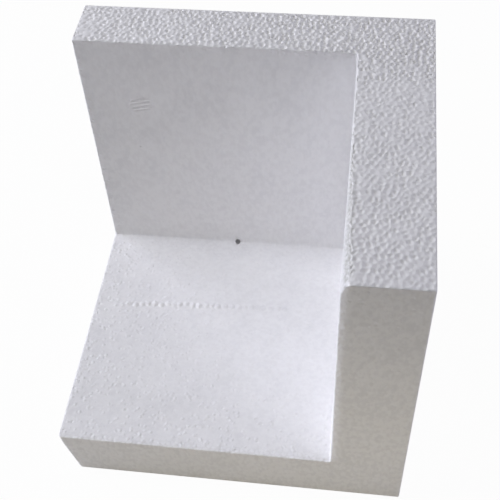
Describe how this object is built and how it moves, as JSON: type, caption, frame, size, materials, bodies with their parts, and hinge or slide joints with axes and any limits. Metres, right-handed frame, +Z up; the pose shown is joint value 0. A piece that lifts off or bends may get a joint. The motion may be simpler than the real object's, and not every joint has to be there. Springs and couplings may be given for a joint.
{
  "type": "foam packing corner",
  "caption": "Block of moulded polystyrene foam with three thick walls round an open pocket, which cushions one corner of a packed product.",
  "frame": {"origin": "middle of the underside of the block's box", "axes": "+Z up from the underside, +Y towards the back wall, +X towards the side wall"},
  "size_m": [0.15, 0.143, 0.15],
  "materials": {
    "foam": "matte white foam with a fused bead surface"
  },
  "bodies": {
    "root": {"foam_corner": "foam"}
  },
  "joints": []
}
